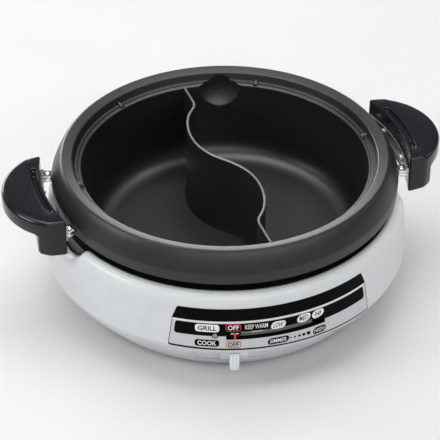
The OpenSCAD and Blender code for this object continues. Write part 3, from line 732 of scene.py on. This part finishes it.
def housing_column(a):
    """The casing's closed profile at one angle: rim, outer skin down, inner skin up."""
    aa = (a+180) % 360 - 180
    rec = REC0 <= aa <= REC1
    h, w = rim_z(a)
    low = SIDE_TOP-(RIM-h)
    fix = surf_r(low)-SIDE_R
    col = []
    for i, (p, q) in enumerate(zip(TOP, DIP)):
        r, z = p[0]+(q[0]-p[0])*w, p[1]+(q[1]-p[1])*w
        out = max(0.0, min(1.0, (r-183)/6))
        col.append((r+fix*out, z-(RIM-h)))
    for z in rows_z:
        z = min(z, low)
        r = surf_r(z) - SKIN
        if rec and 18.96 <= z <= 44.52:
            r = cone_r(z)-4
        elif rec and 44.52 < z <= 44.9:
            r -= 0.25 if z < 44.7 else 0.06
        col.append((r, z))
    top = h-RIM
    col += [(159.2, 5.05)] + INNER[:-1] + [(min(INNER[-1][0], surf_r(low)-3), 97+top)]
    col += [(182.4, 108.2+top), (180.2, 107.2+top)]
    return col


def housing():
    eps = 0.06
    keys = []
    for c in (0, 180):
        for sgn in (-1, 1):
            keys += [c+sgn*(NOTCH+t) for t in (-5, -4, -3, -2, -1.4, -0.9, -0.45, 0, 0.03, 0.1, 0.22, 0.4,
                                               0.65, 1, 1.5, 2.1, 3.0)]
    keys += [REC0, REC0-eps, REC1, REC1+eps, ARC0, ARC1, SLOT0, SLOT1]
    al = angles(1.0, keys)
    cols = [housing_column(a) for a in al]
    k = len(cols[0])
    verts = [polar(r, a, z) for a, c in zip(al, cols) for r, z in c]
    n0 = len(TOP)

    def row_at(z):
        return n0 + min(range(len(rows_z)), key=lambda i: abs(rows_z[i]-z))

    holes = []
    for a0, a1, zt, zb, deep in ((SLOT0, SLOT1, SLOT_TOP, SLOT_LOW, 187.3),
                                 (ARC0, ARC1, ARC_TOP, ARC_LOW, 172.0)):
        c0 = min(range(len(al)), key=lambda i: abs(al[i]-a0 % 360))
        c1 = min(range(len(al)), key=lambda i: abs(al[i]-a1 % 360))
        holes.append((c0, c1, row_at(zt), row_at(zb), deep))

    # the inlet's opening goes through both skins
    i0, i1 = al.index(INLET0), al.index(INLET1)
    o0, o1 = row_at(INLET_TOP), row_at(INLET_LOW)
    q1 = n0+len(rows_z)+1+[z for _, z in INNER].index(INLET_LOW)
    q0 = q1+1

    def skip(i, r):
        if i0 <= i < i1 and (o0 <= r < o1 or r == q1):
            return True
        return any(c0 <= i < c1 and rt <= r < rb for c0, c1, rt, rb, _ in holes)

    faces = grid_faces(len(al), k, skip=skip)
    for c0, c1, rt, rb, deep in holes:
        loop = [(i, rt) for i in range(c0, c1)] + [(c1, r) for r in range(rt, rb)] \
            + [(i, rb) for i in range(c1, c0, -1)] + [(c0, r) for r in range(rb, rt, -1)]
        base = len(verts)
        for i, r in loop:
            verts.append(polar(deep, al[i], cols[i][r][1]))
        m = len(loop)
        for q in range(m):
            i, r = loop[q]
            i2, r2 = loop[(q+1) % m]
            faces.append((i*k+r, i2*k+r2, base+(q+1) % m, base+q))
    for i in range(i0, i1):
        faces.append((i*k+o0, (i+1)*k+o0, (i+1)*k+q0, i*k+q0))
        faces.append((i*k+o1, (i+1)*k+o1, (i+1)*k+q1, i*k+q1))
    for i in (i0, i1):
        faces.append(tuple(i*k+r for r in range(o0, o1+1))+(i*k+q1, i*k+q0))
    ob = add("casing", verts, faces, "base", "shell", ("housing_shell",), 38, merge=0.0005)
    ob.data.materials.append(M["trim"])
    ob.data.materials.append(M["label_black"])
    for p in ob.data.polygons:
        c = p.center
        r = math.hypot(c.x, c.y)
        if c.z > 0.1128 and r < 0.1813:
            p.material_index = 1
        # the side walls of the scale's slot take the label's black: painted shade inside the slot
        slot_shade_rows = SLOT_LOW-0.1 < c.z/MM < SLOT_TOP+0.1
        if c.y < 0 and slot_shade_rows and 0.1872 < r < 0.1915:
            p.material_index = 2


housing()

# ---------------------------------------------------------------- label
MID = -91.35                # angle of the label's middle
DEG = 3.35                  # mm along the casing's face in one degree
ACROSS, UPRIGHT = (1, 0, 0), (0, 1, 0)


def half_at(z):
    """Half the label's width in degrees at height z."""
    return 34.62 - 0.0325*z - max(0.0, z-87)*0.078


def face_r(z):
    """Radius of the casing piece's own face, up into its rolled rim."""
    for (r1, z1), (r0, z0) in zip(TOP, TOP[1:]):
        if z > SIDE_TOP and z0 <= z <= z1:
            return r0+(r1-r0)*(z-z0)/(z1-z0)
    return surf_r(z)-SKIN


def cut(bm, at, direction):
    """Cuts all of a flat mesh along the line at that distance in the direction."""
    bmesh.ops.bisect_plane(bm, geom=bm.verts[:]+bm.edges[:]+bm.faces[:],
                           plane_co=[at*c for c in direction], plane_no=direction)


def face_out(bm):
    """Turns every face away from the pot's axis."""
    for f in bm.faces:
        c = f.calc_center_median()
        f.normal_update()
        if f.normal.x*c.x+f.normal.y*c.y < 0:
            f.normal_flip()


def uv_mesh(name, loops, mat, off, nodes=()):
    """Flat polygons, rings or meshes in (angle, height), laid on the casing's face."""
    bm = bmesh.new()
    for kind, pts in loops:
        if kind == "poly":
            vs = [bm.verts.new((u*DEG, v, 0)) for u, v in pts]
            bm.faces.new(vs)
        elif kind == "ring":
            outer = [bm.verts.new((u*DEG, v, 0)) for u, v in pts[0]]
            inner = [bm.verts.new((u*DEG, v, 0)) for u, v in pts[1]]
            m = len(outer)
            for i in range(m):
                bm.faces.new((outer[i], outer[(i+1) % m], inner[(i+1) % m], inner[i]))
        else:
            points, faces = pts
            vs = [bm.verts.new(p) for p in points]
            for f in faces:
                try:
                    bm.faces.new([vs[i] for i in f])
                except ValueError:
                    pass
    bmesh.ops.triangulate(bm, faces=[f for f in bm.faces if len(f.verts) > 4])
    us = [v.co.x for v in bm.verts]
    zs = [v.co.y for v in bm.verts]
    x = math.floor(min(us)/4)*4+4
    while x < max(us):
        cut(bm, x, ACROSS)
        x += 4
    z = math.floor(min(zs)/1.25)*1.25+1.25
    while z < max(zs):
        cut(bm, z, UPRIGHT)
        z += 1.25 if z < 60 or z > 97 else 5
    for v in bm.verts:
        a, z = v.co.x/DEG, v.co.y
        v.co = Vector(polar(face_r(z)+off, a, z))*MM
    face_out(bm)
    put(name, bm, "base", mat, nodes, 60)


def box_uv(a0, a1, z0, z1, r, n=5, lean=0.0):
    """Rounded rectangle; r in mm; lean shears it in degrees per mm."""
    x0, x1 = a0*DEG, a1*DEG
    r = min(r, (x1-x0)/2-0.01, (z1-z0)/2-0.01)
    pts = []
    for cx, cz, s in ((x1-r, z1-r, 0), (x0+r, z1-r, 90), (x0+r, z0+r, 180), (x1-r, z0+r, 270)):
        for i in range(n+1):
            t = rad(s+90*i/n)
            pts.append(((cx+r*math.cos(t)), cz+r*math.sin(t)))
    zm = (z0+z1)/2
    return [((x+(z-zm)*lean)/DEG, z) for x, z in pts]


def words(text, a0, a1, z0, z1, bold=0.0, lean=0.0):
    """Text fitted into a box in (angle, height)."""
    cu = bpy.data.curves.new("w", "FONT")
    cu.body = text
    cu.size = 10
    cu.offset = bold
    cu.resolution_u = 3
    ob = bpy.data.objects.new("w", cu)
    bpy.context.scene.collection.objects.link(ob)
    dg = bpy.context.evaluated_depsgraph_get()
    me = bpy.data.meshes.new_from_object(ob.evaluated_get(dg))
    bpy.data.objects.remove(ob)
    bpy.data.curves.remove(cu)
    xs = [v.co.x for v in me.vertices]
    ys = [v.co.y for v in me.vertices]
    sx = (a1-a0)*DEG/(max(xs)-min(xs))
    sy = (z1-z0)/(max(ys)-min(ys))
    zm = (z0+z1)/2
    vs = []
    for v in me.vertices:
        y = z0+(v.co.y-min(ys))*sy
        vs.append((a0*DEG+(v.co.x-min(xs))*sx+(y-zm)*lean, y, 0))
    fs = [tuple(p.vertices) for p in me.polygons]
    bpy.data.meshes.remove(me)
    return ("mesh", (vs, fs))


def trapezoid(z0, z1, inset, corners, tilt=0.0):
    """Label-shaped polygon; corners are radii for (bl, br, tr, tl), tilt leans the lower edge."""
    def edge(z, s):
        return (MID+s*(half_at(z)-math.degrees(inset/192)))*DEG

    quad = [(edge(z0, -1), z0+tilt, corners[0]), (edge(z0, 1), z0-tilt, corners[1]),
            (edge(z1, 1), z1, corners[2]), (edge(z1, -1), z1, corners[3])]
    if z0 < 80 and z1 > 90:
        quad[2:2] = [(edge(87, 1), 87)]
        quad.append((edge(87, -1), 87))
    return [(x/DEG, z) for x, z in rounded(quad, n=5)]


def cut_slot(outline):
    """Polygon with the slot's opening taken out."""
    bm = bmesh.new()
    vs = [bm.verts.new((u*DEG, v, 0)) for u, v in outline]
    bm.faces.new(vs)
    for x in (SLOT0, SLOT1):
        cut(bm, x*DEG, ACROSS)
    for z in (SLOT_LOW, SLOT_TOP):
        cut(bm, z, UPRIGHT)
    kill = [f for f in bm.faces if SLOT0*DEG < f.calc_center_median().x < SLOT1*DEG
            and SLOT_LOW < f.calc_center_median().y < SLOT_TOP]
    bmesh.ops.delete(bm, geom=kill, context="FACES")
    bm.verts.index_update()
    mesh = ([tuple(v.co) for v in bm.verts], [tuple(v.index for v in f.verts) for f in bm.faces])
    bm.free()
    return [("mesh", mesh)]


def label():
    z0, z1, tilt = 50.85, 100.3, 1.45
    rim_out = trapezoid(z0, z1, 0.15, (3, 3, 3.5, 3.5), tilt)
    rim_in = trapezoid(z0+2.4, z1-0.5, 0.8, (2.0, 2.0, 2.8, 2.8), tilt)
    uv_mesh("label_face", cut_slot(rim_out), "label_silver", 0.06, nodes=("label_plate",))
    uv_mesh("label_edge", [("ring", (rim_out, rim_in))], "label_black", 0.1)
    uv_mesh("label_band_top", [("poly", trapezoid(86.0, 100.1, 0.5, (0.3, 0.3, 3.2, 3.2)))],
            "label_black", 0.12)
    uv_mesh("label_line", [("poly", trapezoid(83.9, 85.7, 0.9, (0.4, 0.4, 0.4, 0.4)))], "line", 0.1)
    # second band, which the slot runs through
    uv_mesh("label_band", cut_slot(trapezoid(68.7, 83.3, 4.0, (3.4, 3.4, 3.4, 3.4))), "label_black", 0.12)


label()


def pill(name, a0, a1, z0, z1, r, fill, text, ink, tw, th, bold=0.0, lean=0.0, line=None):
    """Rounded field with a word on it; line gives an outline instead of a filled field."""
    zm, am = (z0+z1)/2, (a0+a1)/2
    if fill:
        uv_mesh(name+"_field", [("poly", box_uv(a0, a1, z0, z1, r, lean=lean))], fill, 0.16)
    if line:
        g = 0.75
        o = box_uv(a0, a1, z0, z1, r, lean=lean)
        i = box_uv(a0+g/DEG, a1-g/DEG, z0+g, z1-g, max(r-g, 0.2), lean=lean)
        uv_mesh(name+"_line", [("ring", (o, i))], line, 0.18)
    uv_mesh(name+"_word", [words(text, am-tw/2, am+tw/2, zm-th/2, zm+th/2, bold, lean)], ink, 0.2)


pill("grill", -116.1, -108.9, 73.4, 82.2, 3.0, "ink_white", "GRILL", "label_black", 5.6, 5.6, 0.2)
pill("cook", -116.2, -108.9, 56.0, 64.2, 3.0, "label_black", "COOK", "ink_white", 5.6, 5.2, 0.2)
pill("off_grill", -107.0, -102.5, 74.5, 82.8, 2.4, None, "OFF", "ink_white", 3.3, 5.4, 0.2,
     line="ink_red")
pill("off_cook", -107.0, -102.5, 54.7, 63.0, 2.4, None, "OFF", "label_black", 3.3, 5.2, 0.2,
     line="ink_red")
uv_mesh("keep_warm", [words("KEEP WARM", -101.3, -94.5, 76.2, 81.4, 0.05)], "ink_white", 0.2)
pill("low", -93.5, -89.0, 72.6, 81.2, 4.0, "ink_white", "LOW", "label_black", 3.0, 5.2, 0.1, 0.22)
pill("med", -85.3, -81.0, 73.9, 82.5, 4.0, "ink_white", "MED", "label_black", 2.9, 5.2, 0.1, 0.22)
pill("high_grill", -80.4, -76.4, 73.9, 82.4, 4.0, "ink_white", "HI", "label_black", 1.9, 5.2, 0.2,
     0.22)
pill("simmer", -94.6, -88.0, 54.6, 62.3, 3.8, "label_black", "SIMMER", "ink_white", 5.2, 4.5, 0.08,
     0.22)
pill("high_cook", -80.2, -75.8, 54.1, 62.1, 3.8, "label_black", "HIGH", "ink_white", 3.3, 4.5, 0.1,
     0.22)
squares = []
for am, s in ((-87.4, 1.6), (-86.1, 2.0), (-84.7, 2.6), (-83.3, 3.2), (-81.7, 3.9)):
    squares.append(("poly", box_uv(am-s/(2*DEG), am+s/(2*DEG), 58.3-s/2, 58.3+s/2, 0.25, 2)))
uv_mesh("growing_squares", squares, "label_black", 0.16)


# ---------------------------------------------------------------- scale, ticks
def strip_piece(name, a0, a1, z0, z1, r_at, mat, corner, body="base"):
    """Rounded field on the cylinder of radius r_at."""
    bm = bmesh.new()
    pts = box_uv(a0, a1, z0, z1, corner)
    vs = [bm.verts.new((u*DEG, v, 0)) for u, v in pts]
    bm.faces.new(vs)
    bmesh.ops.triangulate(bm, faces=bm.faces[:])
    x = math.floor(a0*DEG/3)*3+3
    while x < a1*DEG:
        cut(bm, x, ACROSS)
        x += 3
    for v in bm.verts:
        v.co = Vector(polar(r_at, v.co.x/DEG, v.co.y))*MM
    face_out(bm)
    put(name, bm, body, mat, (), 60)


strip_piece("scale_end_left", SLOT0, -102.4, SLOT_LOW+0.1, SLOT_TOP-0.1, 187.6, "label_black", 2.0)
strip_piece("scale_end_right", -79.6, SLOT1-0.1, SLOT_LOW+0.1, SLOT_TOP-0.1, 187.6, "label_black", 2.0)
for i, (am, w) in enumerate(((-97.35, 3.5), (-91.0, 1.9), (-82.6, 1.9), (-78.1, 1.9))):
    strip_piece(f"tick_{i+1}", am-w/2, am+w/2, 68.4, 70.0, 187.8, "ink_white", 0.3)
strip_piece("pointer_mark", -105.5, -103.1, 68.2, 69.7, 189.3, "ink_white", 0.3, "lever")


LAMP_A, LAMP_Z = -110.2, 69.2


def lamp():
    """The pilot lamp's domed lens and the dark ring round it."""
    n, verts = 24, []
    for r, radius in ((186.5, 2.4), (193.9, 2.4), (194.15, 2.1), (194.3, 1.2)):
        for i in range(n):
            t = 2*math.pi*i/n
            verts.append(turn((r, radius*math.cos(t), LAMP_Z+radius*math.sin(t)), LAMP_A))
    add("lamp_dome", verts, stack_faces(4, n), "base", "lens", ("lamp_lens",), 60)
    ring = [[(LAMP_A+r*math.cos(rad(t))/DEG, LAMP_Z+r*math.sin(rad(t))) for t in range(0, 360, 12)]
            for r in (3.3, 2.45)]
    uv_mesh("lamp_ring", [("ring", ring)], "label_black", 0.2)


lamp()


# ---------------------------------------------------------------- lever
def lever():
    """Plate, ribbed peg and neck of the lever, and the needle that it carries."""
    plate = rounded([(-14.3, 22.2, 1.6), (14.3, 22.2, 1.6), (14.3, 42.4, 1.6), (-14.3, 42.4, 1.6)])
    verts = []
    c = Vector((0, 32.3))
    for inset, depth in ((0, -3.4), (0, -1.2), (0.15, -0.9), (0.6, -0.72)):
        for x, z in plate:
            p = Vector((x, z))
            p += (c-p).normalized()*inset
            verts.append(polar(cone_r(p.y)+depth, LEVER+math.degrees(p.x/186), p.y))
    add("lever_plate", verts, stack_faces(4, len(plate)), "lever", "lever", ("lever_knob",), 40)
    # peg with three upright ribs
    rows = []
    m = 24
    for z, less in ((42.7, 1.3), (42.5, 0.5), (42.0, 0.1), (41, 0), (34, 0), (27, 0), (24, 0.1),
                    (22.6, 0.45), (21.5, 1.1), (20.9, 1.9), (20.7, 2.8)):
        hw = 5.15-less*0.55-max(0.0, (30-z)*0.035)
        back = cone_r(max(z, 23))-1.0
        front = 191.1-less
        row = [(back, -hw), (front-1.4, -hw)]
        for i in range(m+1):
            f = i/m
            x = (f*3 % 1)*2-1 if i < m else 1
            rib = 0.85*(1-math.sqrt(max(0.0, 1-x*x)))
            edge = 1.1*(1-math.sqrt(max(0.0, 1-max(0.0, abs(f*2-1)*1.18-0.18)**6)))
            row.append((front-rib-edge, -hw+2*hw*f))
        row += [(front-1.4, hw), (back, hw)]
        rows.append([(r, y, z) for r, y in row])
    verts = [turn(v, LEVER) for row in rows for v in row]
    add("lever_peg", verts, stack_faces(len(rows), len(rows[0])), "lever", "lever", (), 50)
    neck = rounded([(163.5, -4, 1), (181, -4, 1), (181, 4, 1), (163.5, 4, 1)], n=3)
    prism("lever_neck", neck, 33.7, 38.3, 0.5, "lever", "lever", lambda v: turn(v, LEVER))
    # red needle with a head at both ends, on a stem through the slot
    half = [(0, 63.9), (1.7, 66.4), (0.75, 66.4), (0.75, 71.6), (1.9, 71.6), (0, 74.7)]
    shape = half + [(-y, z) for y, z in half[-2:0:-1]]
    verts = [turn((r, y, z), LEVER) for r in (193.9, 194.4) for y, z in shape]
    add("needle", verts, stack_faces(2, len(shape)), "lever", "needle", ("pointer_needle",), 30)
    stem = [(189.2, -0.7), (194.0, -0.7), (194.0, 0.7), (189.2, 0.7)]
    prism("needle_stem", stem, 66.5, 69.9, 0.1, "lever", "needle", lambda v: turn(v, LEVER))


lever()

# ---------------------------------------------------------------- sensor spring
def spring():
    """The CAD's five-turn coil, fixed on the base; the real coil shortens with the sensor cup."""
    turns, coil_r, wire_r = 5, 8, 0.7
    z0, z1 = 33.25, 47.7
    n, k = turns*32, 8
    verts = []
    for i in range(n+1):
        t = 2*math.pi*turns*i/n
        for j in range(k):
            b = 2*math.pi*j/k
            r = coil_r+wire_r*math.cos(b)
            verts.append((r*math.cos(t), r*math.sin(t), z0+(z1-z0)*i/n+wire_r*math.sin(b)))
    ob = add("spring_coil", verts, stack_faces(n+1, k), "base", "steel", ("sensor_spring",), 50)
    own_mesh(ob)


spring()

# ---------------------------------------------------------------- floor, world, lights
FLOOR = 12                  # half the floor's side in metres
WORLD = 0.14                # strength of the even light from all around
me = bpy.data.meshes.new("floor")
me.from_pydata([(-FLOOR, -FLOOR, 0), (FLOOR, -FLOOR, 0), (FLOOR, FLOOR, 0), (-FLOOR, FLOOR, 0)], [],
               [(0, 1, 2, 3)])
floor = bpy.data.objects.new("floor", me)
bpy.context.scene.collection.objects.link(floor)
me.materials.append(M["floor"])

world = bpy.data.worlds.new("studio")
world.use_nodes = True
world.node_tree.nodes["Background"].inputs["Color"].default_value = (1.0, 1.0, 1.0, 1)
world.node_tree.nodes["Background"].inputs["Strength"].default_value = WORLD
bpy.context.scene.world = world
bpy.context.scene.view_settings.view_transform = "Standard"


def softbox(name, pos, aim, w, h, power):
    """A rectangular lamp at pos that points at aim; sizes in metres, power in watts."""
    d = bpy.data.lights.new(name, "AREA")
    d.shape = "RECTANGLE"
    d.size, d.size_y, d.energy = w, h, power
    o = bpy.data.objects.new(name, d)
    o.location = pos
    o.rotation_euler = (Vector(aim)-Vector(pos)).to_track_quat("-Z", "Y").to_euler()
    bpy.context.scene.collection.objects.link(o)


softbox("overhead", (0.05, 0.45, 2.2), (0.05, 0.4, 0), 2.4, 1.8, 53)
softbox("side_left", (-1.76, 0.05, 1.05), (0, 0, 0.12), 0.8, 0.7, 14)
softbox("side_right", (1.8, -0.1, 0.98), (0, 0, 0.12), 0.7, 0.6, 2)
softbox("back_low", (0, 3.4, 0.58), (0, 0, 0.3), 4.0, 1.0, 96)
softbox("front_fill", (0.3, -2.7, 2.0), (0.2, 0, 0), 4.0, 1.8, 54)
softbox("left_front", (-1.3, -1.35, 1.15), (0, 0, 0.1), 0.6, 1.1, 4)
softbox("right_front", (1.7, -1.5, 1.3), (0.2, 0, 0.1), 0.6, 1.0, 4)

# ---------------------------------------------------------------- materials of the CAD nodes
SLOTS = {
    "housing_shell": "shell", "bottom_cover": "cover", "rubber_feet": "rubber", "cover_screws": "steel",
    "heat_guard": "guard", "reflector_dish": "reflector", "reflector_screws": "steel",
    "heating_element": "element", "element_clips": "steel", "terminal_beads": "ceramic",
    "pan_rests": "steel", "sensor_sleeve": "reflector", "sensor_spring": "steel",
    "sensor_cup": "reflector", "sensor_clip": "steel", "label_plate": "label_silver",
    "scale_strip": "strip", "lamp_lens": "lens", "lamp_holder": "black", "inlet_block": "black",
    "inlet_pins": "brass", "inlet_plate": "steel", "terminal_block": "ceramic",
    "supply_wires": "wire", "thermostat_case": "bakelite", "thermostat_leads": "wire",
    "thermostat_shaft": "steel", "thermostat_pinion": "nylon", "thermal_fuse": "ceramic",
    "fuse_clip": "steel", "pivot_screw": "steel", "lever_arm": "steel", "lever_knob": "lever",
    "pointer_bracket": "black", "pointer_needle": "needle", "lever_screws": "steel",
    "pan_shell": "coat_in", "pan_divider": "coat_in", "grip_left": "grip", "grip_right": "grip",
    "bracket_left": "steel", "bracket_right": "steel", "lug_screws": "chrome",
    "bracket_screws": "steel", "grip_screws": "steel",
}
for node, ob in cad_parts.items():
    obs = ob if isinstance(ob, (list, tuple)) else [ob]
    for o in obs:
        for s in o.material_slots:
            s.material = M[SLOTS[node]]
